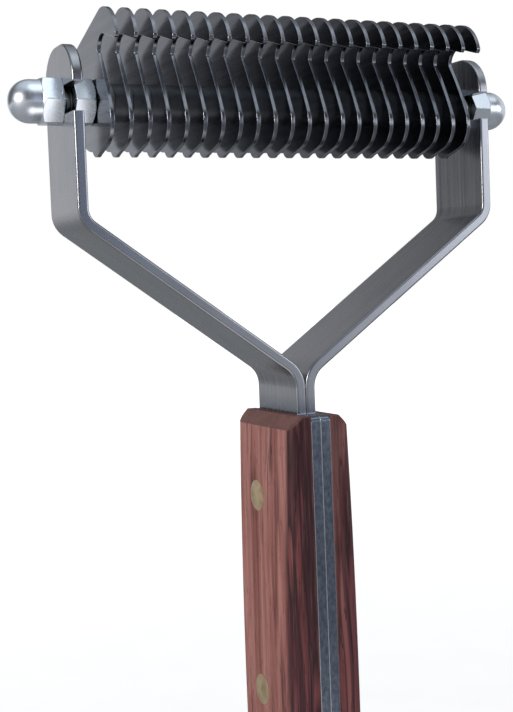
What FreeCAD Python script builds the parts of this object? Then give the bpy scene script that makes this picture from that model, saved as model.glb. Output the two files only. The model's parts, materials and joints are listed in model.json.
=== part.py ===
import FreeCAD
import Part
import math
import os
import Sketcher

# Dematting comb: a row of hooked blades threaded on an axle, carried in the
# open slots of a Y-shaped strip frame with a riveted two-scale handle.
# Millimetres, +Z runs from the grip to the head, X along the axle,
# -Y is the side the hooks face.  Origin: middle of the grip.

SIZES = [
    # name, value in mm (counts are plain numbers), meaning
    ("strip_t", 2.0, "thickness of each frame strip"),
    ("strip_w", 17.6, "width of the strip above the grip"),
    ("head_y", 2.0, "head and strip centre, behind the grip centre"),
    ("axle_z", 114.5, "axle height above the grip centre"),
    ("arm_top", 10.1, "arm end above the axle"),
    ("arm_round", 7.2, "corner radius of the arm end"),
    ("bend_hi", 22.4, "upper bend below the axle, on the outer face"),
    ("bend_lo", 52.2, "lower bend below the axle, on the outer face"),
    ("bend_hi_r", 3.0, "inside radius of the upper bend"),
    ("bend_lo_r", 4.5, "inside radius of the lower bend"),
    ("strip_edge", 0.35, "rounding of the strip's long edges"),
    ("slot_h", 5.2, "height of the open axle slot"),
    ("grip_l", 110.0, "length of the grip"),
    ("grip_d", 25.0, "depth of the grip, front to back"),
    ("scale_t", 4.2, "thickness of one wooden scale at its ends"),
    ("scale_swell", 0.9, "extra thickness half way along a scale"),
    ("scale_round", 2.0, "rounding of the long outer edges of a scale"),
    ("scale_bevel", 2.4, "bevel at the ends of a scale"),
    ("grip_corner", 3.0, "corner radius at the lower end of the grip"),
    ("shoulder_r", 1.0, "corner radius of the tang shoulder"),
    ("rivet_d", 6.0, "rivet diameter"),
    ("rivet_gap", 38.7, "distance between neighbouring rivets"),
    ("rivet_proud", 0.06, "rivet end above the wood"),
    ("rivet_y", 3.0, "rivets behind the grip centre"),
    ("axle_d", 5.0, "axle diameter over the thread"),
    ("axle_past", 6.4, "axle beyond the outer face of each arm"),
    ("axle_bevel", 0.5, "bevel at the axle ends"),
    ("bore_d", 5.1, "bore of every part carried on the axle"),
    ("nut_af", 8.0, "nut width across flats"),
    ("nut_h", 4.0, "height of the inner nut"),
    ("nut_face", 3.75, "radius of the flat face of a nut"),
    ("nut_bevel", 0.5, "length of the corner bevel on the free side of a nut"),
    ("nut_break", 0.12, "length of the corner bevel on the clamping side"),
    ("nut_seat", 4.4, "radius of the clamping face of a nut"),
    ("cap_hex", 4.0, "length of the hexagon of the acorn nut"),
    ("cap_l", 9.5, "overall length of the acorn nut"),
    ("cap_r", 3.95, "radius of the acorn dome"),
    ("cap_bore", 7.0, "depth of the acorn nut bore"),
    ("cap_cone", 1.2, "depth of the cone below that bore"),
    ("blade_t", 0.7, "blade thickness"),
    ("blade_gap", 2.84, "length of a spacer between two blades"),
    ("spacer_d", 7.0, "outside diameter of a spacer"),
    # blade outline, measured from the axle: y is front(-) to back(+)
    ("crest_y", -6.9, "start of the nose curve"),
    ("crest_z", 15.6, ""),
    ("nose_r", 7.4, "radius of the nose"),
    ("tip_y", -15.3, "hook tip"),
    ("tip_z", 10.3, ""),
    ("tip_r", 0.75, "radius of the hook tip"),
    ("hook_y", -14.7, "start of the underside of the hook"),
    ("hook_z", 9.2, ""),
    ("gullet_y", -8.6, "end of the underside, start of the throat"),
    ("gullet_z", 11.05, ""),
    ("gullet_r", 2.9, "radius of the throat"),
    ("edge_y", -5.0, "top of the long cutting edge"),
    ("edge_z", 8.25, ""),
    ("edge_r", 60.0, "radius of the long cutting edge"),
    ("belly_y", -10.75, "lower end of the cutting edge"),
    ("belly_z", -2.2, ""),
    ("belly_r", 4.7, "radius of the belly"),
    ("sole_y", -7.6, "front of the sole"),
    ("sole_z", -8.6, ""),
    ("heel_y", -3.2, "back of the sole"),
    ("heel_z", -9.8, ""),
    ("heel_r", 2.6, "radius of the heel"),
    ("step_y", 0.3, "step between the heel and the round back"),
    ("step_z", -8.95, ""),
    ("back_r", 9.1, "radius of the round back"),
    ("back_y", 9.1, "rearmost face of the blade"),
    ("back_z", 0.4, "lower end of the rear face"),
    ("rear_z", 8.4, "upper end of the rear face"),
    ("shoulder_y", 7.4, "rear end of the straight upper edge"),
    ("shoulder_z", 10.95, ""),
    ("rear_r", 2.5, "radius of the rear corner"),
]

BLADES = 22
NODES = []


class Dim:
    """A number together with the text that ties it to the size table."""

    def __init__(self, value, text):
        self.value = float(value)
        self.text = text

    def _join(self, other, sign, value):
        return Dim(value, "(" + self.text + " " + sign + " " + other.text + ")")

    def __add__(self, other):
        other = as_dim(other)
        return self._join(other, "+", self.value + other.value)

    def __sub__(self, other):
        other = as_dim(other)
        return self._join(other, "-", self.value - other.value)

    def __mul__(self, other):
        other = as_dim(other)
        return self._join(other, "*", self.value * other.value)

    def __truediv__(self, other):
        other = as_dim(other)
        return self._join(other, "/", self.value / other.value)

    def __neg__(self):
        return Dim(-self.value, "(0 - " + self.text + ")")


def as_dim(x):
    if isinstance(x, Dim):
        return x
    if x < 0:
        return Dim(x, "(0 - " + repr(abs(float(x))) + ")")
    return Dim(x, repr(float(x)))


doc = FreeCAD.newDocument("dematting_comb")
sheet = doc.addObject("Spreadsheet::Sheet", "Sizes")
VALUE = {}
for row, (name, value, note) in enumerate(SIZES, start=1):
    sheet.set("A" + str(row), name)
    sheet.set("B" + str(row), str(value))
    sheet.set("C" + str(row), note)
    sheet.setAlias("B" + str(row), name)
    VALUE[name] = value
doc.recompute()


def d(name):
    return Dim(VALUE[name], "Sizes." + name)


ZERO = Dim(0.0, "0")
ONE = Dim(1.0, "1")
BLADE_PITCH = d("blade_t") + d("blade_gap")
PACK_HALF = (BLADE_PITCH * (BLADES - 1) + d("blade_t")) / 2
ARM_IN = PACK_HALF + d("nut_h")
ARM_OUT = ARM_IN + d("strip_t")


def bind(obj, prop, dim):
    obj.setExpression(prop, as_dim(dim).text)


def new_body(label, x=ZERO, y=ZERO, z=ZERO):
    body = doc.addObject("PartDesign::Body", label)
    body.Label = label
    bind(body, "Placement.Base.x", x)
    bind(body, "Placement.Base.y", y)
    bind(body, "Placement.Base.z", z)
    NODES.append(body)
    return body


def origin_item(body, role):
    for item in body.Origin.OriginFeatures:
        if item.Role == role:
            return item
    raise ValueError("no origin item " + role)


def new_sketch(body, name, plane):
    sk = body.newObject("Sketcher::SketchObject", body.Name + "_" + name)
    sk.AttachmentSupport = [(origin_item(body, plane), "")]
    sk.MapMode = "FlatFace"
    return sk


def vec(p):
    return FreeCAD.Vector(as_dim(p[0]).value, as_dim(p[1]).value, 0)


def place_point(sk, geo, pos, point):
    """Fixes one sketch point with two sizes from the table."""
    for kind, dim in (("DistanceX", as_dim(point[0])), ("DistanceY", as_dim(point[1]))):
        if dim.value == 0.0:
            axis = -2 if kind == "DistanceX" else -1
            sk.addConstraint(Sketcher.Constraint("PointOnObject", geo, pos, axis))
            continue
        n = sk.addConstraint(Sketcher.Constraint(kind, -1, 1, geo, pos, dim.value))
        sk.setExpression("Constraints[" + str(n) + "]", dim.text)


def arc_between(p, q, radius, bulge):
    """Arc of the given radius; bulge +1 bows to the left of p -> q, -1 to the right."""
    mid = (p + q) * 0.5
    chord = q - p
    half = chord.Length / 2
    side = FreeCAD.Vector(-chord.y, chord.x, 0).normalize() * bulge
    rise = radius - math.sqrt(max(radius * radius - half * half, 0.0))
    return Part.Arc(p, mid + side * rise, q)


def closed_outline(sk, points, arcs):
    """Closed chain through the points; arcs = {index: (radius, bulge)}."""
    count = len(points)
    ends = []
    for i in range(count):
        p = vec(points[i])
        q = vec(points[(i + 1) % count])
        if i in arcs:
            radius, bulge = arcs[i]
            curve = arc_between(p, q, as_dim(radius).value, bulge)
            geo = sk.addGeometry(curve, False)
            start_is_one = (sk.getPoint(geo, 1) - p).Length < 1e-5
            ends.append((geo, 1 if start_is_one else 2, 2 if start_is_one else 1))
        else:
            geo = sk.addGeometry(Part.LineSegment(p, q), False)
            ends.append((geo, 1, 2))
    for i in range(count):
        geo, first, last = ends[i]
        nxt, nxt_first, _ = ends[(i + 1) % count]
        sk.addConstraint(Sketcher.Constraint("Coincident", geo, last, nxt, nxt_first))
    for i in range(count):
        place_point(sk, ends[i][0], ends[i][1], points[i])
    for i, (radius, bulge) in arcs.items():
        radius = as_dim(radius)
        n = sk.addConstraint(Sketcher.Constraint("Radius", ends[i][0], radius.value))
        sk.setExpression("Constraints[" + str(n) + "]", radius.text)
    return ends


def circle(sk, centre, diameter):
    diameter = as_dim(diameter)
    geo = sk.addGeometry(
        Part.Circle(vec(centre), FreeCAD.Vector(0, 0, 1), diameter.value / 2), False)
    if as_dim(centre[0]).value == 0.0 and as_dim(centre[1]).value == 0.0:
        sk.addConstraint(Sketcher.Constraint("Coincident", geo, 3, -1, 1))
    else:
        place_point(sk, geo, 3, centre)
    n = sk.addConstraint(Sketcher.Constraint("Diameter", geo, diameter.value))
    sk.setExpression("Constraints[" + str(n) + "]", diameter.text)
    return geo


def pad(body, sk, name, length, both=False, reverse=False):
    feat = body.newObject("PartDesign::Pad", body.Name + "_" + name)
    feat.Profile = sk
    if both:
        if hasattr(feat, "SideType"):
            feat.SideType = "Symmetric"
        else:
            feat.Midplane = True
    feat.Reversed = reverse
    feat.Length = as_dim(length).value
    bind(feat, "Length", length)
    sk.Visibility = False
    doc.recompute()
    return feat


def pocket(body, sk, name, length, both=True):
    """Cuts the sketch out of the body, symmetric about the sketch plane."""
    before = body.Shape.Volume
    feat = body.newObject("PartDesign::Pocket", body.Name + "_" + name)
    feat.Profile = sk
    if both:
        if hasattr(feat, "SideType"):
            feat.SideType = "Symmetric"
        else:
            feat.Midplane = True
    feat.Length = as_dim(length).value
    bind(feat, "Length", length)
    sk.Visibility = False
    doc.recompute()
    if not body.Shape.Volume < before - 0.01:
        raise RuntimeError(name + " removed nothing from " + body.Label)
    return feat


def revolve(body, sk, name):
    feat = body.newObject("PartDesign::Revolution", body.Name + "_" + name)
    feat.Profile = sk
    feat.ReferenceAxis = (origin_item(body, "X_Axis"), [""])
    feat.Angle = 360.0
    sk.Visibility = False
    doc.recompute()
    return feat


def edges_where(body, test, curved=False):
    """Names of the edges whose middle and direction pass the test."""
    names = []
    for i, edge in enumerate(body.Shape.Edges, start=1):
        straight = edge.Curve.TypeId == "Part::GeomLine"
        if not straight and not curved:
            continue
        a = edge.valueAt(edge.FirstParameter)
        b = edge.valueAt(edge.LastParameter)
        mid = edge.valueAt((edge.FirstParameter + edge.LastParameter) / 2)
        if test(mid, b - a):
            names.append("Edge" + str(i))
    return names


def dress(body, kind, name, size, prop, test, expected, curved=False):
    """Fillet or chamfer on the edges picked by the test."""
    names = edges_where(body, test, curved)
    if len(names) != expected:
        raise RuntimeError(body.Label + " " + name + ": edges found " + str(len(names)))
    base = body.Tip
    feat = body.newObject("PartDesign::" + kind, body.Name + "_" + name)
    feat.Base = (base, names)
    setattr(feat, prop, as_dim(size).value)
    bind(feat, prop, size)
    doc.recompute()
    return feat


def runs_along(v, axis):
    return abs(abs(getattr(v, axis)) - v.Length) < 1e-6 and v.Length > 1e-6


def near(a, b, tol=0.02):
    return abs(a - b) < tol


# ---- frame arms -----------------------------------------------------------
GRIP_HALF = d("grip_l") / 2
DROP = d("axle_z") - GRIP_HALF          # axle down to the grip's upper end


def make_arm(label, s):
    body = new_body(label, ZERO, d("head_y"), d("axle_z"))
    base = body.Placement.Base
    t = d("strip_t")
    # unit normal of the slanted leg, from the two outer-face bend points
    run = (ARM_OUT - t).value
    fall = d("bend_lo").value - d("bend_hi").value
    leg = math.hypot(run, fall)
    # shift of each inner bend point along its bisector, for thickness t
    hi_shift = math.tan(0.5 * math.atan2(run, fall))
    lo_shift = hi_shift
    inner_hi = d("bend_hi") - t * hi_shift
    inner_lo = d("bend_lo") - t * lo_shift
    sk = new_sketch(body, "side", "XZ_Plane")
    outline = [
        (ARM_OUT * s, d("arm_top")),
        (ARM_OUT * s, -d("bend_hi")),
        (t * s, -d("bend_lo")),
        (t * s, -(DROP + 1.0)),
        (ZERO, -(DROP + 1.0)),
        (ZERO, -inner_lo),
        (ARM_IN * s, -inner_hi),
        (ARM_IN * s, d("arm_top")),
    ]
    closed_outline(sk, outline, {})
    pad(body, sk, "strip", d("strip_w"), both=True)

    w2 = d("strip_w").value / 2
    out = ARM_OUT.value
    zhi = d("bend_hi").value
    zlo = d("bend_lo").value

    def at(x, z):
        def test(m, v):
            m = m - body.Placement.Base
            return runs_along(v, "y") and near(m.x, x * s) and near(m.z, z)
        return test

    dress(body, "Fillet", "bend_hi_in", d("bend_hi_r"), "Radius",
          at(ARM_IN.value, -inner_hi.value), 1)
    dress(body, "Fillet", "bend_hi_out", d("bend_hi_r") + t, "Radius", at(out, -zhi), 1)
    dress(body, "Fillet", "bend_lo_in", d("bend_lo_r"), "Radius", at(t.value, -zlo), 1)
    dress(body, "Fillet", "bend_lo_out", d("bend_lo_r") + t, "Radius",
          at(0.0, -inner_lo.value), 1)

    def arm_end(m, v):
        m = m - body.Placement.Base
        return runs_along(v, "x") and near(m.z, d("arm_top").value) and near(abs(m.y), w2)

    dress(body, "Fillet", "end_round", d("arm_round"), "Radius", arm_end, 2)

    def long_edge(m, v):
        m = m - body.Placement.Base
        if runs_along(v, "x") or near(m.z, -(DROP + 1.0).value):
            return False
        return not runs_along(v, "y") or near(m.z, d("arm_top").value)

    dress(body, "Fillet", "edge_round", d("strip_edge"), "Radius", long_edge, 26, curved=True)

    # wide tang between the scales
    tang = new_sketch(body, "tang", "YZ_Plane")
    front = -(d("grip_d") / 2) - d("head_y")
    back = d("grip_d") / 2 - d("head_y")
    closed_outline(tang, [
        (front, -DROP),
        (back, -DROP),
        (back, -(d("axle_z") + GRIP_HALF)),
        (front, -(d("axle_z") + GRIP_HALF)),
    ], {})
    pad(body, tang, "tang_pad", t, reverse=(s < 0))

    # slot for the axle, open to the front edge
    slot = new_sketch(body, "slot", "YZ_Plane")
    half = d("slot_h") / 2
    reach = -(d("strip_w"))
    closed_outline(slot, [
        (reach, half),
        (reach, -half),
        (ZERO, -half),
        (half, ZERO),
        (ZERO, half),
    ], {2: (half, -1), 3: (half, -1)})
    pocket(body, slot, "slot_cut", ARM_OUT * 2 + 4.0)

    # rivet holes
    holes = new_sketch(body, "holes", "YZ_Plane")
    for k in (-1, 0, 1):
        circle(holes, (d("rivet_y") - d("head_y"), d("rivet_gap") * k - d("axle_z")), d("rivet_d"))
    pocket(body, holes, "holes_cut", t * 4)

    low = -(d("axle_z") + GRIP_HALF).value

    def tang_end(m, v):
        m = m - body.Placement.Base
        return runs_along(v, "x") and near(m.z, low)

    dress(body, "Fillet", "tang_corner", d("grip_corner"), "Radius", tang_end, 2)

    def tang_top(m, v):
        m = m - body.Placement.Base
        wide = near(m.y, front.value) or near(m.y, back.value)
        return runs_along(v, "x") and near(m.z, -DROP.value) and wide

    dress(body, "Fillet", "shoulder", d("shoulder_r"), "Radius", tang_top, 2)
    return body


make_arm("frame_arm_left", -1)
make_arm("frame_arm_right", 1)


# ---- handle scales and rivets --------------------------------------------
def thickness_at(z):
    """Thickness of a scale at height z: it swells towards the middle of the grip."""
    along = z / GRIP_HALF
    return d("scale_t") + d("scale_swell") * (ONE - along * along)


def scale_section(body, name, s, z):
    """One cross-section: flat inner face, rounded outer corners."""
    sk = new_sketch(body, name, "XY_Plane")
    bind(sk, "AttachmentOffset.Base.z", z)
    t = thickness_at(z)
    r = d("scale_round")
    half = d("grip_d") / 2
    closed_outline(sk, [
        (ZERO, -half),
        ((t - r) * s, -half),
        (t * s, -(half - r)),
        (t * s, half - r),
        ((t - r) * s, half),
        (ZERO, half),
    ], {1: (r, -s), 3: (r, -s)})
    return sk


def make_scale(label, s):
    body = new_body(label, d("strip_t") * s)
    half = d("grip_d") / 2
    heights = (-GRIP_HALF, -d("rivet_gap"), ZERO, d("rivet_gap"), GRIP_HALF)
    sections = []
    for i, z in enumerate(heights, start=1):
        sections.append(scale_section(body, "section_" + str(i), s, z))
    doc.recompute()
    loft = body.newObject("PartDesign::AdditiveLoft", label + "_block")
    loft.Profile = sections[0]
    loft.Sections = sections[1:]
    doc.recompute()
    for sk in sections:
        sk.Visibility = False

    holes = new_sketch(body, "holes", "YZ_Plane")
    for k in (-1, 0, 1):
        circle(holes, (d("rivet_y"), d("rivet_gap") * k), d("rivet_d"))
    deep = (d("scale_t") + d("scale_swell")) * 3
    pocket(body, holes, "holes_cut", deep)

    corners = new_sketch(body, "corners", "YZ_Plane")
    r = d("grip_corner")
    past = d("blade_gap")
    for side in (-1, 1):
        closed_outline(corners, [
            ((half - r) * side, -GRIP_HALF),
            (half * side, -(GRIP_HALF - r)),
            ((half + past) * side, -(GRIP_HALF - r)),
            ((half + past) * side, -(GRIP_HALF + past)),
            ((half - r) * side, -(GRIP_HALF + past)),
        ], {0: (r, -side)})
    pocket(body, corners, "corners_cut", deep)

    bevels = new_sketch(body, "bevels", "XZ_Plane")
    inner = d("scale_t") - d("scale_bevel") - past
    outer = d("scale_t") + past
    closed_outline(bevels, [
        (inner * s, GRIP_HALF + past),
        (outer * s, GRIP_HALF - d("scale_bevel") - past),
        (outer * s, GRIP_HALF + past),
    ], {})
    pocket(body, bevels, "bevel_cut", d("grip_d") * 2)
    return body


make_scale("handle_scale_left", -1)
make_scale("handle_scale_right", 1)

for label, k in (("rivet_top", 1), ("rivet_middle", 0), ("rivet_bottom", -1)):
    pin = doc.addObject("Part::Cylinder", label)
    pin.Label = label
    half_l = d("strip_t") + thickness_at(d("rivet_gap") * k) + d("rivet_proud")
    pin.Placement = FreeCAD.Placement(
        FreeCAD.Vector(0, 0, 0), FreeCAD.Rotation(FreeCAD.Vector(0, 1, 0), 90))
    bind(pin, "Radius", d("rivet_d") / 2)
    bind(pin, "Height", half_l * 2)
    bind(pin, "Placement.Base.x", -half_l)
    bind(pin, "Placement.Base.y", d("rivet_y"))
    bind(pin, "Placement.Base.z", d("rivet_gap") * k)
    NODES.append(pin)


# ---- axle and nuts --------------------------------------------------------
axle = new_body("threaded_axle", ZERO, d("head_y"), d("axle_z"))
sk = new_sketch(axle, "profile", "XZ_Plane")
end = ARM_OUT + d("axle_past")
r = d("axle_d") / 2
c = d("axle_bevel")
closed_outline(sk, [
    (-end, ZERO),
    (-end, r - c),
    (-(end - c), r),
    (end - c, r),
    (end, r - c),
    (end, ZERO),
], {})
revolve(axle, sk, "rod")


def cut_flats(body, start, length, s):
    """Trims a round blank to a hexagon with two flats facing up and down."""
    sk = new_sketch(body, "flats", "YZ_Plane")
    corner = d("nut_af") / math.sqrt(3.0)
    flat = d("nut_af") / 2
    closed_outline(sk, [
        (corner, ZERO),
        (corner / 2, flat),
        (-(corner / 2), flat),
        (-corner, ZERO),
        (-(corner / 2), -flat),
        (corner / 2, -flat),
    ], {})
    circle(sk, (ZERO, ZERO), d("nut_af") * 2)
    return pocket(body, sk, "flats_cut", as_dim(length) * 2 + 0.2)


def make_inner_nut(label, s):
    body = new_body(label, PACK_HALF * s, d("head_y"), d("axle_z"))
    sk = new_sketch(body, "profile", "XZ_Plane")
    corner = d("nut_af") / math.sqrt(3.0)
    bore = d("bore_d") / 2
    h = d("nut_h")
    c = d("nut_bevel")
    closed_outline(sk, [
        (ZERO, bore),
        (h * s, bore),
        (h * s, d("nut_seat")),
        ((h - d("nut_break")) * s, corner),
        (c * s, corner),
        (ZERO, d("nut_face")),
    ], {})
    revolve(body, sk, "blank")
    cut_flats(body, ZERO, h, s)
    return body


def make_acorn_nut(label, s):
    body = new_body(label, ARM_OUT * s, d("head_y"), d("axle_z"))
    sk = new_sketch(body, "profile", "XZ_Plane")
    corner = d("nut_af") / math.sqrt(3.0)
    bore = d("bore_d") / 2
    c = d("nut_bevel")
    dome = d("cap_r")
    closed_outline(sk, [
        (ZERO, bore),
        (d("cap_bore") * s, bore),
        ((d("cap_bore") + d("cap_cone")) * s, ZERO),
        (d("cap_l") * s, ZERO),
        ((d("cap_l") - dome) * s, dome),
        (d("cap_hex") * s, dome),
        ((d("cap_hex") - c) * s, corner),
        (d("nut_break") * s, corner),
        (ZERO, d("nut_seat")),
    ], {3: (dome, -1 if s > 0 else 1)})
    revolve(body, sk, "blank")
    cut_flats(body, ZERO, d("cap_hex"), s)
    return body


make_inner_nut("inner_nut_left", -1)
make_inner_nut("inner_nut_right", 1)
make_acorn_nut("acorn_nut_left", -1)
make_acorn_nut("acorn_nut_right", 1)

# ---- blades and spacers ---------------------------------------------------
BLADE_OUTLINE = [
    (d("crest_y"), d("crest_z")),
    (d("tip_y"), d("tip_z")),
    (d("hook_y"), d("hook_z")),
    (d("gullet_y"), d("gullet_z")),
    (d("edge_y"), d("edge_z")),
    (d("belly_y"), d("belly_z")),
    (d("sole_y"), d("sole_z")),
    (d("heel_y"), d("heel_z")),
    (d("step_y"), d("step_z")),
    (d("back_y"), d("back_z")),
    (d("back_y"), d("rear_z")),
    (d("shoulder_y"), d("shoulder_z")),
]
# walking crest -> tip -> belly -> heel -> back keeps the metal on the left,
# so -1 bows outward and +1 bows into the blade
BLADE_ARCS = {
    0: (d("nose_r"), -1),
    1: (d("tip_r"), -1),
    3: (d("gullet_r"), 1),
    4: (d("edge_r"), -1),
    5: (d("belly_r"), -1),
    7: (d("heel_r"), -1),
    8: (d("back_r"), -1),
    10: (d("rear_r"), -1),
}


def make_blade(number):
    x = BLADE_PITCH * (number - 1 - (BLADES - 1) / 2)
    body = new_body("blade_%02d" % number, x, d("head_y"), d("axle_z"))
    sk = new_sketch(body, "outline", "YZ_Plane")
    closed_outline(sk, BLADE_OUTLINE, BLADE_ARCS)
    circle(sk, (ZERO, ZERO), d("bore_d"))
    pad(body, sk, "plate", d("blade_t"), both=True)


def make_spacer(number):
    x = BLADE_PITCH * (number - BLADES / 2)
    body = new_body("spacer_%02d" % number, x, d("head_y"), d("axle_z"))
    sk = new_sketch(body, "ring", "YZ_Plane")
    circle(sk, (ZERO, ZERO), d("spacer_d"))
    circle(sk, (ZERO, ZERO), d("bore_d"))
    pad(body, sk, "tube", d("blade_gap"), both=True)


for number in range(1, BLADES + 1):
    make_blade(number)
for number in range(1, BLADES):
    make_spacer(number)

# ---- checks and export ----------------------------------------------------
doc.recompute()
for obj in doc.Objects:
    bad = [s for s in obj.State if s in ("Invalid", "Error")]
    if bad:
        raise RuntimeError(obj.Label + " is " + ", ".join(bad))

os.makedirs("parts", exist_ok=True)
for obj in NODES:
    if obj.Shape.isNull() or not obj.Shape.isValid():
        raise RuntimeError("bad shape " + obj.Label)
    if len(obj.Shape.Solids) != 1:
        raise RuntimeError(obj.Label + " has %d solids" % len(obj.Shape.Solids))
    obj.Shape.exportStep("parts/" + obj.Label + ".step")
print("exported", len(NODES))
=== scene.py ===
import json
import math

import bmesh
import bpy
from mathutils import Matrix, Vector


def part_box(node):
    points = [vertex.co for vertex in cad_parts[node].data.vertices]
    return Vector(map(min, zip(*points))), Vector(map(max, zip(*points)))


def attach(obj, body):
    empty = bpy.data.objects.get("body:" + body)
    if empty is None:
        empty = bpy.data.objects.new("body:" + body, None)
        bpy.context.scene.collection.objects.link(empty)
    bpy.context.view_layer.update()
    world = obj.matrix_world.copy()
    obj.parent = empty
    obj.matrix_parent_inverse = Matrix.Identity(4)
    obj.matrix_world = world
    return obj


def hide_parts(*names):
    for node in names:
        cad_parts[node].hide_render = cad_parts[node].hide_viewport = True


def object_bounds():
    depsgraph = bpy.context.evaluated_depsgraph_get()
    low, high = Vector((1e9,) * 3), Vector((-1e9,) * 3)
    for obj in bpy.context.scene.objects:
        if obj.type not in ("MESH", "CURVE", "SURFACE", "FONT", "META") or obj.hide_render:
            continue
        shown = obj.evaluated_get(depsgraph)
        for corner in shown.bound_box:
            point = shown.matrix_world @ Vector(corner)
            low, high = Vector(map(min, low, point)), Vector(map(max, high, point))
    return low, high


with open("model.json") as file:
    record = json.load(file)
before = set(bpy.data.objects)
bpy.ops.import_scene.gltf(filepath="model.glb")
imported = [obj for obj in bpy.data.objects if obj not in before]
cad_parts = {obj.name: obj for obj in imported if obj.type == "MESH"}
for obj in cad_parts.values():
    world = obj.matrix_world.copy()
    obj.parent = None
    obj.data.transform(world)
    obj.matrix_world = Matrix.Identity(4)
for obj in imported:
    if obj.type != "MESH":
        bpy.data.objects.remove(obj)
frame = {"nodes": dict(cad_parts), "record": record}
cad_box = [list(corner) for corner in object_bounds()]
nodes = frame["nodes"]

# Lengths are in metres, and a noise scale is the number of features in a metre.
THREAD_PITCH = 0.0008
THREAD_DEPTH = 0.00042
SCALE_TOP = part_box("handle_scale_left")[1].z
# where the painted shade on the steel below the scale tops begins, and how far it fades in
TANG_SHADE_BELOW = SCALE_TOP - 0.0005
TANG_SHADE_FADE = 0.004
FLOOR_Z = cad_box[0][2] - 0.0004
FLOOR_HALF = 6.0
WHITE = (1.0, 1.0, 1.0)


# ---- node helpers ---------------------------------------------------------
def feed(tree, socket, value):
    """Link another node's output to a socket, or set it to a number, vector or colour."""
    if isinstance(value, bpy.types.NodeSocket):
        tree.links.new(value, socket)
    elif socket.type == "RGBA":
        socket.default_value = (*value, 1.0)
    else:
        socket.default_value = value


def new_material(name):
    mat = bpy.data.materials.new(name)
    mat.use_nodes = True
    tree = mat.node_tree
    tree.nodes.clear()
    out = tree.nodes.new("ShaderNodeOutputMaterial")
    shader = tree.nodes.new("ShaderNodeBsdfPrincipled")
    tree.links.new(shader.outputs["BSDF"], out.inputs["Surface"])
    return mat, tree, shader


def coords(tree, scale=(1.0, 1.0, 1.0)):
    """Object coordinates in metres, stretched: a small scale makes long streaks."""
    tex = tree.nodes.new("ShaderNodeTexCoord")
    mapping = tree.nodes.new("ShaderNodeMapping")
    feed(tree, mapping.inputs["Scale"], scale)
    feed(tree, mapping.inputs["Vector"], tex.outputs["Object"])
    return mapping.outputs["Vector"]


def axis_part(tree, vector, axis):
    """One component, X, Y or Z, of a vector."""
    split = tree.nodes.new("ShaderNodeSeparateXYZ")
    feed(tree, split.inputs[0], vector)
    return split.outputs[axis]


def noise(tree, vector, scale, detail=4.0, rough=0.55, distortion=0.0):
    n = tree.nodes.new("ShaderNodeTexNoise")
    for socket, value in (("Vector", vector), ("Scale", scale), ("Detail", detail),
                          ("Roughness", rough), ("Distortion", distortion)):
        feed(tree, n.inputs[socket], value)
    return n.outputs["Fac"]


def ramp(tree, value, stops):
    r = tree.nodes.new("ShaderNodeValToRGB")
    while len(r.color_ramp.elements) < len(stops):
        r.color_ramp.elements.new(0.5)
    for element, (pos, colour) in zip(r.color_ramp.elements, stops):
        element.position = pos
        element.color = (*colour, 1.0)
    feed(tree, r.inputs["Fac"], value)
    return r.outputs["Color"]


def spread(tree, value, low, high, frm=(0.0, 1.0), interpolation="LINEAR"):
    """Turn the range frm of a value into the range from low to high."""
    m = tree.nodes.new("ShaderNodeMapRange")
    m.interpolation_type = interpolation
    for socket, number in (("Value", value), ("From Min", frm[0]), ("From Max", frm[1]),
                           ("To Min", low), ("To Max", high)):
        feed(tree, m.inputs[socket], number)
    return m.outputs["Result"]


def mix(tree, a, b, factor, blend="MIX"):
    m = tree.nodes.new("ShaderNodeMix")
    m.data_type = "RGBA"
    m.blend_type = blend
    factor_socket, a_socket, b_socket = m.inputs[0], m.inputs[6], m.inputs[7]
    feed(tree, factor_socket, factor)
    feed(tree, a_socket, a)
    feed(tree, b_socket, b)
    return m.outputs[2]


def number_math(tree, operation, *values):
    node = tree.nodes.new("ShaderNodeMath")
    node.operation = operation
    for socket, value in zip(node.inputs, values):
        feed(tree, socket, value)
    return node.outputs["Value"]


def vector_math(tree, operation, a, b):
    """A dot product and a distance are numbers, and every other result is a vector."""
    node = tree.nodes.new("ShaderNodeVectorMath")
    node.operation = operation
    feed(tree, node.inputs[0], a)
    feed(tree, node.inputs[1], b)
    return node.outputs["Value" if operation in ("DOT_PRODUCT", "DISTANCE") else "Vector"]


def rounded_normal(tree, radius, samples):
    """The surface's normal with its sharp edges softened by a radius."""
    bevel = tree.nodes.new("ShaderNodeBevel")
    bevel.samples = samples
    bevel.inputs["Radius"].default_value = radius
    return bevel.outputs["Normal"]


def bump(tree, height, shader, strength, distance, round_edge=0.0):
    """Surface relief; round_edge softens sharp edges by that radius."""
    b = tree.nodes.new("ShaderNodeBump")
    feed(tree, b.inputs["Strength"], strength)
    feed(tree, b.inputs["Distance"], distance)
    feed(tree, b.inputs["Height"], height)
    if round_edge:
        feed(tree, b.inputs["Normal"], rounded_normal(tree, round_edge, 16))
    feed(tree, shader.inputs["Normal"], b.outputs["Normal"])


def sharp_edge_mask(tree, radius):
    """1 on sharp edges, 0 on flats, from how far the rounded normal turns away."""
    geo = tree.nodes.new("ShaderNodeNewGeometry")
    agree = vector_math(tree, "DOT_PRODUCT", rounded_normal(tree, radius, 12),
                        geo.outputs["Normal"])
    return spread(tree, agree, 1.0, 0.0, (0.80, 0.995))


# ---- materials --------------------------------------------------------------
def painted_tang_shade(tree, tone):
    """Painted shade: the metal below the top of the handle scales is darkened to a mottled
    blue-grey.
    """
    height = axis_part(tree, coords(tree), "Z")
    tang_shade_mask = spread(tree, height, 0.92, 0.0, (TANG_SHADE_BELOW, TANG_SHADE_BELOW + TANG_SHADE_FADE))
    mottle = noise(tree, coords(tree, (1.0, 1.0, 0.6)), 1500.0, 3.0, 0.6)
    tang_shade_tone = ramp(tree, mottle, [(0.35, (0.095, 0.115, 0.155)),
                                    (0.65, (0.185, 0.215, 0.275))])
    return mix(tree, tone, tang_shade_tone, tang_shade_mask)


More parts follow.
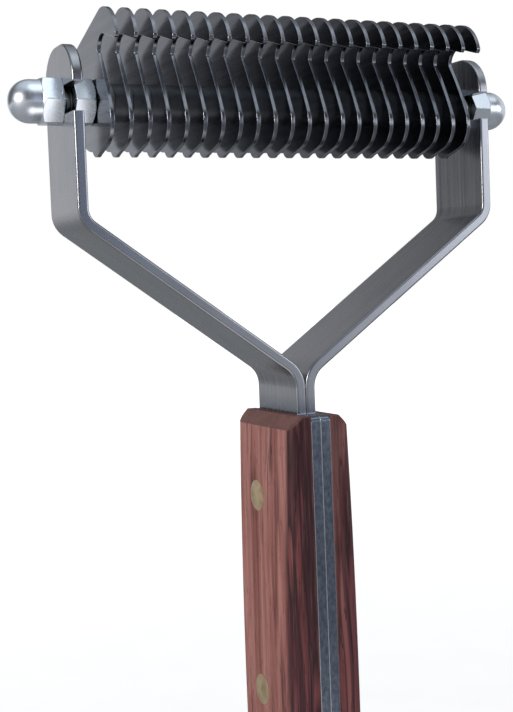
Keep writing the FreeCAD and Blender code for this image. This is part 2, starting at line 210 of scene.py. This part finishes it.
def brushed_metal(name, dark, light, rough, across, edge_radius=0.0003, edge_highlight=(0.80, 0.82, 0.88),
                  relief=0.12, rough_swing=0.05, shade_tang=False):
    """Metal with a grain: it changes quickly along the axes in `across` only.

    edge_radius is the width of the rounded edges, and edge_highlight the colour of the highlight
    painted on them.
    """
    fine, streak, depth = 900.0, 14.0, 0.000004
    mat, tree, shader = new_material(name)
    scale = tuple(fine if axis in across else streak for axis in "xyz")
    grain = noise(tree, coords(tree, scale), 1.0, 3.0, 0.6)
    cloud = noise(tree, coords(tree), 70.0, 3.0, 0.5, 0.4)
    tone = ramp(tree, grain, [(0.30, dark), (0.70, light)])
    dull = tuple(c * 0.78 for c in dark)
    tone = mix(tree, tone, dull, spread(tree, cloud, 0.0, 0.4, (0.45, 0.75)))
    # painted shade on the metal below the top of the handle scales
    if shade_tang:
        tone = painted_tang_shade(tree, tone)
    # painted highlight: the sharp edges are mixed towards a bright colour
    edge = sharp_edge_mask(tree, edge_radius)
    tone = mix(tree, tone, edge_highlight, spread(tree, edge, 0.0, 0.8))
    feed(tree, shader.inputs["Base Color"], tone)
    feed(tree, shader.inputs["Metallic"], 1.0)
    feed(tree, shader.inputs["Roughness"],
         spread(tree, grain, rough - rough_swing, rough + rough_swing, (0.3, 0.7)))
    bump(tree, grain, shader, relief, depth, edge_radius)
    return mat


def plated_metal(name):
    """Bright plating: faint clouds in its colour and gloss, and slightly rounded edges."""
    mat, tree, shader = new_material(name)
    cloud = noise(tree, coords(tree), 240.0, 4.0, 0.6, 0.5)
    fine = noise(tree, coords(tree), 2600.0, 2.0, 0.5)
    tone = ramp(tree, cloud, [(0.30, (0.72, 0.77, 0.86)), (0.62, (0.87, 0.91, 0.98))])
    feed(tree, shader.inputs["Base Color"], tone)
    feed(tree, shader.inputs["Metallic"], 1.0)
    feed(tree, shader.inputs["Roughness"], spread(tree, cloud, 0.20, 0.32, (0.3, 0.7)))
    bump(tree, fine, shader, 0.06, 0.000004, 0.00022)
    return mat


def brass(name):
    """Dull brass, ground flush, with scratches along the grip."""
    mat, tree, shader = new_material(name)
    scratch = noise(tree, coords(tree, (900.0, 900.0, 60.0)), 1.0, 3.0, 0.6)
    cloud = noise(tree, coords(tree), 380.0, 4.0, 0.6, 0.3)
    tone = ramp(tree, cloud, [(0.30, (0.52, 0.37, 0.21)), (0.55, (0.76, 0.59, 0.37)),
                              (0.75, (0.88, 0.72, 0.50))])
    feed(tree, shader.inputs["Base Color"], tone)
    feed(tree, shader.inputs["Metallic"], 1.0)
    feed(tree, shader.inputs["Roughness"], spread(tree, scratch, 0.36, 0.52, (0.3, 0.7)))
    bump(tree, scratch, shader, 0.3, 0.00001)
    return mat


def wood(name, shift, dark_from, dark_fade):
    """Reddish close-grained hardwood: long figure, dark streaks and fine pores.

    shift moves the pattern, so that two scales differ. The front side is darker, partly as darker
    heartwood and partly as painted shade, and the dark fades out over dark_fade towards +Y from
    dark_from.
    """
    mat, tree, shader = new_material(name)
    tex = tree.nodes.new("ShaderNodeTexCoord")
    along = vector_math(tree, "ADD", coords(tree, (1.0, 1.0, 0.07)), shift)
    figure = noise(tree, along, 210.0, 5.0, 0.60, 1.3)
    streak = noise(tree, along, 520.0, 3.0, 0.55, 0.4)
    band = noise(tree, along, 330.0, 2.0, 0.5, 0.8)
    wander = noise(tree, along, 150.0, 2.0, 0.5)
    fibre = noise(tree, coords(tree, (1.0, 1.0, 0.03)), 2400.0, 3.0, 0.6)
    pores = noise(tree, coords(tree, (1.0, 1.0, 0.10)), 3000.0, 2.0, 0.5)
    tone = ramp(tree, figure, [
        (0.30, (0.150, 0.047, 0.041)), (0.43, (0.280, 0.110, 0.095)),
        (0.57, (0.385, 0.175, 0.153)), (0.74, (0.470, 0.238, 0.213))])
    # heartwood and painted shade: a darker band on the front side whose border follows the figure
    place_y = axis_part(tree, tex.outputs["Object"], "Y")
    border = number_math(tree, "MULTIPLY_ADD", wander, 0.016, place_y)
    heartwood_and_shade = spread(tree, border, 0.94, 0.0, (dark_from, dark_from + dark_fade))
    banded = ramp(tree, band, [(0.36, (0.210, 0.066, 0.066)), (0.43, (0.055, 0.014, 0.022)),
                               (0.55, (0.014, 0.005, 0.009)), (0.63, (0.150, 0.042, 0.046))])
    tone = mix(tree, tone, banded, heartwood_and_shade)
    for colour, pattern, most, frm in (
            ((0.060, 0.016, 0.016), streak, 0.75, (0.56, 0.68)),
            ((0.50, 0.24, 0.20), fibre, 0.22, (0.54, 0.76)),
            ((0.030, 0.010, 0.010), pores, 0.85, (0.63, 0.72))):
        tone = mix(tree, tone, colour, spread(tree, pattern, 0.0, most, frm))
    # painted shade: the slopes that face up, which cut across the grain, are darker
    facing_up = axis_part(tree, tex.outputs["Normal"], "Z")
    painted_top_shade = spread(tree, facing_up, 0.0, 0.80, (0.30, 0.66))
    tone = mix(tree, tone, (0.105, 0.050, 0.044), painted_top_shade)
    edge = sharp_edge_mask(tree, 0.0009)
    tone = mix(tree, tone, (0.36, 0.16, 0.13), spread(tree, edge, 0.0, 0.18))
    feed(tree, shader.inputs["Base Color"], tone)
    feed(tree, shader.inputs["Roughness"], spread(tree, fibre, 0.40, 0.56, (0.3, 0.7)))
    feed(tree, shader.inputs["Specular IOR Level"], 0.18)
    feed(tree, shader.inputs["Coat Weight"], 0.04)
    feed(tree, shader.inputs["Coat Roughness"], 0.35)
    bump(tree, fibre, shader, 0.4, 0.00003)
    return mat


slot_material = {
    "frame_steel": brushed_metal("frame_steel", (0.32, 0.325, 0.345), (0.42, 0.425, 0.455),
                                 0.27, "y", shade_tang=True),
    "blade_steel": brushed_metal("blade_steel", (0.15, 0.155, 0.17), (0.23, 0.24, 0.27),
                                 0.16, "xz", edge_radius=0.00014, edge_highlight=(0.62, 0.66, 0.78),
                                 rough_swing=0.03, relief=0.04),
    "spacer_steel": brushed_metal("spacer_steel", (0.50, 0.51, 0.52), (0.66, 0.67, 0.68),
                                  0.46, "x"),
    "axle_steel": brushed_metal("axle_steel", (0.20, 0.22, 0.20), (0.36, 0.38, 0.35),
                                0.38, "x", edge_radius=0.0001),
    "nut_plating": plated_metal("nut_plating"),
    "rivet_brass": brass("rivet_brass"),
}
scale_material = {
    "handle_scale_left": wood("scale_wood_left", (0.013, 0.031, 0.0), -0.0018, 0.0022),
    "handle_scale_right": wood("scale_wood_right", (0.157, 0.093, 0.02), -0.0050, 0.0050),
}


def finish_nodes():
    """Give every CAD node the material of its slot, and each wooden scale its own."""
    for entry in frame["record"]["subparts"]:
        name = entry["node"]
        mat = scale_material.get(name) or slot_material[entry["material_slot"]]
        mesh = nodes[name].data
        if not mesh.materials:
            mesh.materials.append(mat)
        for i in range(len(mesh.materials)):
            mesh.materials[i] = mat


finish_nodes()


# ---- objects ----------------------------------------------------------------
def add_object(name, data):
    obj = bpy.data.objects.new(name, data)
    bpy.context.scene.collection.objects.link(obj)
    return obj


def threaded_rod(name, node, pitch, depth, steps=36):
    """A rod along X with a V-shaped helical thread and chamfered ends, in the node's box.

    The thread's profile is swept along the helix, one turn joined to the next. It runs one
    turn past each end, where all its points fall on the end's rim and are merged.
    """
    a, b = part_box(node)
    centre = (a + b) / 2
    crest = (b.z - a.z) / 2
    root = crest - depth
    # share of one pitch, and radius
    profile = ((0.0, root), (0.16, root), (0.46, crest), (0.58, crest), (0.88, root))
    size = len(profile)
    count = math.ceil(((b.x - a.x) / pitch + 2.0) * steps)
    verts, faces = [], []
    for i in range(count + 1):
        angle = 2.0 * math.pi * (i % steps) / steps
        for share, radius in profile:
            x = min(max(a.x + pitch * (i / steps + share - 1.0), a.x), b.x)
            r = min(radius, root + x - a.x, root + b.x - x)
            verts.append((x, centre.y + r * math.cos(angle), centre.z + r * math.sin(angle)))
    turn = steps * size
    for i in range(count):
        here, ahead = i * size, (i + 1) * size
        for j in range(size - 1):
            faces.append((here + j, ahead + j, ahead + j + 1, here + j + 1))
        if i + 1 + steps <= count:
            faces.append((here + size - 1, ahead + size - 1, ahead + turn, here + turn))
    mesh = bpy.data.meshes.new(name)
    mesh.from_pydata(verts, [], faces)
    bm = bmesh.new()
    bm.from_mesh(mesh)
    bmesh.ops.remove_doubles(bm, verts=bm.verts, dist=0.000001)
    bmesh.ops.holes_fill(bm, edges=[edge for edge in bm.edges if edge.is_boundary], sides=0)
    bmesh.ops.recalc_face_normals(bm, faces=bm.faces)
    bm.to_mesh(mesh)
    bm.free()
    mesh.materials.append(slot_material["axle_steel"])
    return add_object(name, mesh)


rod = threaded_rod("axle_thread", "threaded_axle", THREAD_PITCH, THREAD_DEPTH)
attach(rod, "axle")
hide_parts("threaded_axle")


# ---- floor, background and light ----------------------------------------------
def floor_material():
    """Pale and matt. The camera sees it evenly lit; the object also reflects a bright
    pool in front of it and a bright horizon, as under studio panels."""
    mat, tree, shader = new_material("floor_pale")
    speck = noise(tree, coords(tree), 60.0, 3.0, 0.5)
    tone = ramp(tree, speck, [(0.3, (0.38, 0.38, 0.38)), (0.7, (0.41, 0.41, 0.41))])
    feed(tree, shader.inputs["Base Color"], tone)
    feed(tree, shader.inputs["Roughness"], 0.95)
    feed(tree, shader.inputs["Specular IOR Level"], 0.0)
    feed(tree, shader.inputs["Emission Color"], WHITE)
    pool_centre = (-0.020, -0.130, FLOOR_Z)
    away = vector_math(tree, "DISTANCE", coords(tree), pool_centre)
    pool = spread(tree, away, 1.35, 0.0, (0.030, 0.110))
    far = spread(tree, away, 0.0, 0.38, (0.65, 1.40))
    plain = spread(tree, away, 0.70, 1.0, (0.30, 1.10))
    path = tree.nodes.new("ShaderNodeLightPath")
    seen = tree.nodes.new("ShaderNodeMix")
    factor_socket, reflected_socket, plain_socket = seen.inputs[0], seen.inputs[2], seen.inputs[3]
    feed(tree, factor_socket, path.outputs["Is Camera Ray"])
    feed(tree, reflected_socket, number_math(tree, "ADD", pool, far))
    feed(tree, plain_socket, plain)
    feed(tree, shader.inputs["Emission Strength"], seen.outputs[0])
    return mat


def floor():
    mesh = bpy.data.meshes.new("floor")
    half = FLOOR_HALF
    mesh.from_pydata([(-half, -half, FLOOR_Z), (half, -half, FLOOR_Z),
                      (half, half, FLOOR_Z), (-half, half, FLOOR_Z)], [], [(0, 1, 2, 3)])
    mesh.materials.append(floor_material())
    add_object("floor", mesh)


def area_light(name, place, target, size, power, colour):
    data = bpy.data.lights.new(name, "AREA")
    data.energy = power
    data.color = colour
    data.size = size
    obj = add_object(name, data)
    place, target = Vector(place), Vector(target)
    obj.location = place
    obj.rotation_euler = (target - place).to_track_quat("-Z", "Y").to_euler()


def panel_light(tree, direction, azimuth, elevation, inner, outer, colour, strength):
    """A soft panel of the studio: full inside `inner` degrees, gone beyond `outer`.

    azimuth turns from -Y towards +X, and it and elevation are in degrees.
    """
    az, el = math.radians(azimuth), math.radians(elevation)
    axis = (math.sin(az) * math.cos(el), -math.cos(az) * math.cos(el), math.sin(el))
    facing = vector_math(tree, "DOT_PRODUCT", direction, axis)
    edges = (math.cos(math.radians(outer)), math.cos(math.radians(inner)))
    soft = spread(tree, facing, 0.0, strength, edges, "SMOOTHSTEP")
    return mix(tree, colour, soft, 1.0, "MULTIPLY")


def studio(glow, panels):
    """A dim room with soft panels around the object; the camera sees plain white."""
    world = bpy.data.worlds.new("studio")
    bpy.context.scene.world = world
    world.use_nodes = True
    tree = world.node_tree
    tree.nodes.clear()
    out = tree.nodes.new("ShaderNodeOutputWorld")
    direction = tree.nodes.new("ShaderNodeTexCoord").outputs["Generated"]
    for panel in panels:
        glow = vector_math(tree, "ADD", glow, panel_light(tree, direction, *panel))
    room = tree.nodes.new("ShaderNodeBackground")
    feed(tree, room.inputs["Color"], glow)
    backdrop = tree.nodes.new("ShaderNodeBackground")
    feed(tree, backdrop.inputs["Color"], WHITE)
    path = tree.nodes.new("ShaderNodeLightPath")
    shown = tree.nodes.new("ShaderNodeMixShader")
    feed(tree, shown.inputs["Fac"], path.outputs["Is Camera Ray"])
    tree.links.new(room.outputs["Background"], shown.inputs[1])
    tree.links.new(backdrop.outputs["Background"], shown.inputs[2])
    tree.links.new(shown.outputs["Shader"], out.inputs["Surface"])


floor()
area_light("key_left", place=(-0.90, -0.24, 0.36), target=(0.0, 0.0, 0.09), size=0.40,
           power=5.6, colour=(1.0, 0.97, 0.94))
# azimuth, elevation, inner and outer angle, colour, strength
studio((0.14, 0.14, 0.145), (
    (180.0, 6.0, 10.0, 30.0, (0.93, 0.96, 1.0), 0.48),
    (-168.0, 2.0, 4.0, 20.0, (0.93, 0.96, 1.0), 0.30),
    (46.0, 6.0, 9.0, 23.0, (0.88, 0.92, 1.0), 2.50),
    (12.0, 0.0, 6.0, 24.0, (0.30, 0.52, 1.0), 0.26),
    (37.0, 63.0, 9.0, 30.0, (0.86, 0.94, 1.0), 0.85),
    (0.0, 90.0, 10.0, 55.0, (0.80, 0.92, 1.0), 0.55),
    (-75.0, 10.0, 10.0, 45.0, (1.0, 0.97, 0.95), 0.45),
    (100.0, 10.0, 10.0, 48.0, (0.92, 0.95, 1.0), 0.60)))
bpy.context.scene.view_settings.view_transform = "Standard"


# ---- camera -------------------------------------------------------------------
def camera(place, yaw, pitch, roll, lens):
    """yaw turns from +Y towards +X, pitch is upward, roll is clockwise, in radians."""
    data = bpy.data.cameras.new("camera")
    data.sensor_width = 36.0
    data.lens = lens
    data.clip_start = 0.01
    obj = add_object("camera", data)
    forward = Vector((math.sin(yaw) * math.cos(pitch), math.cos(yaw) * math.cos(pitch),
                      math.sin(pitch)))
    right = Vector((math.cos(yaw), -math.sin(yaw), 0.0))
    up = right.cross(forward)
    right, up = (right * math.cos(roll) + up * math.sin(roll),
                 up * math.cos(roll) - right * math.sin(roll))
    turn = Matrix((right, up, -forward)).transposed()
    obj.matrix_world = Matrix.Translation(place) @ turn.to_4x4()
    bpy.context.scene.camera = obj


camera(place=(-0.11342, -0.23436, 0.08014), yaw=0.42613, pitch=-0.05387, roll=-0.03840,
       lens=67.35)
